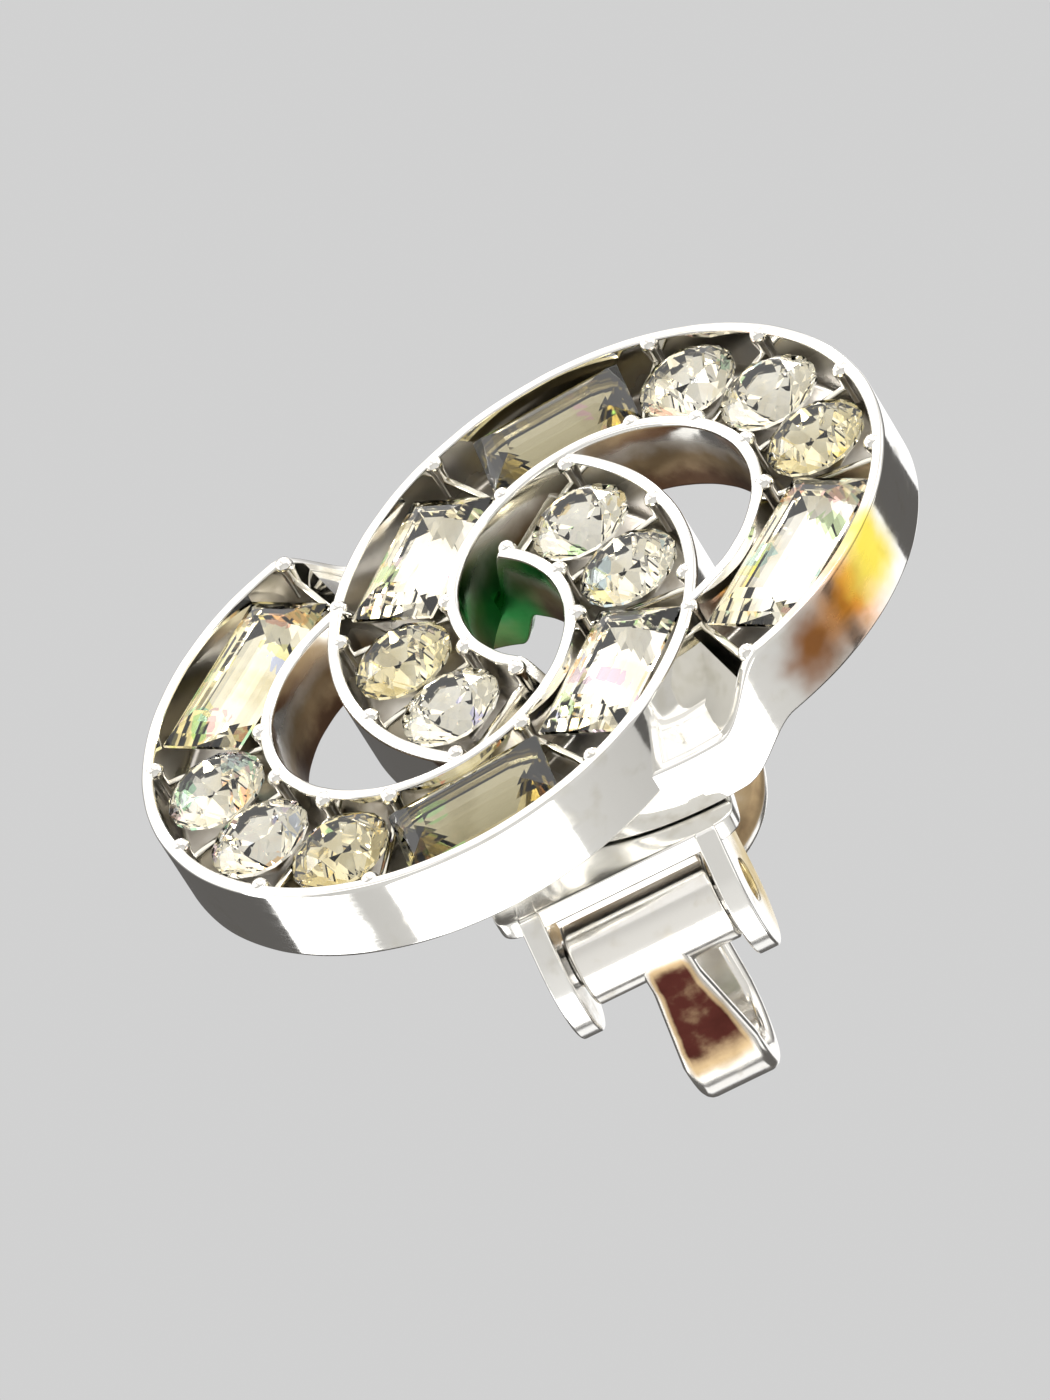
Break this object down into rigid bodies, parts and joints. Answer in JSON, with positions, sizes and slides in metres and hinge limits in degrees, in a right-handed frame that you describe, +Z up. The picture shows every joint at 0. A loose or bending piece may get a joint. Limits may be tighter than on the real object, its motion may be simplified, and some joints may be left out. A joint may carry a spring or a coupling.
{
  "type": "rhinestone clip earring",
  "caption": "Clip-on earring of two interlocking round bands set with clear oblong and round stones, with a hinged clip lever on the back.",
  "frame": {"origin": "middle of the jaw, between the backs of the bands and the front of the pad, where the lobe sits", "axes": "-Y is the way the face looks, +Z is up as worn and the way the lobe leaves the jaw, X is the hinge line and the longest extent"},
  "size_m": [0.0282, 0.0155, 0.0237],
  "materials": {
    "plated_metal": "bright polished rhodium-coloured plating",
    "spring_metal": "plain drawn and rolled steel",
    "stone": "cut clear glass with a foiled back"
  },
  "bodies": {
    "earring": {"setting": "plated_metal", "clip_bracket": "plated_metal", "hinge_pin": "spring_metal", "clip_spring": "spring_metal", "baguette_1": "stone", "baguette_2": "stone", "baguette_3": "stone", "baguette_4": "stone", "baguette_5": "stone", "baguette_6": "stone", "chaton_01": "stone", "chaton_02": "stone", "chaton_03": "stone", "chaton_04": "stone", "chaton_05": "stone", "chaton_06": "stone", "chaton_07": "stone", "chaton_08": "stone", "chaton_09": "stone", "chaton_10": "stone"},
    "lever": {"clip_lever": "plated_metal"}
  },
  "joints": [
    {"name": "lever_hinge", "type": "hinge", "parent": "earring", "child": "lever", "pos_m": [0, -0.0004, -0.0109], "axis": [-1, 0, 0], "range_deg": [-18, 65]}
  ]
}
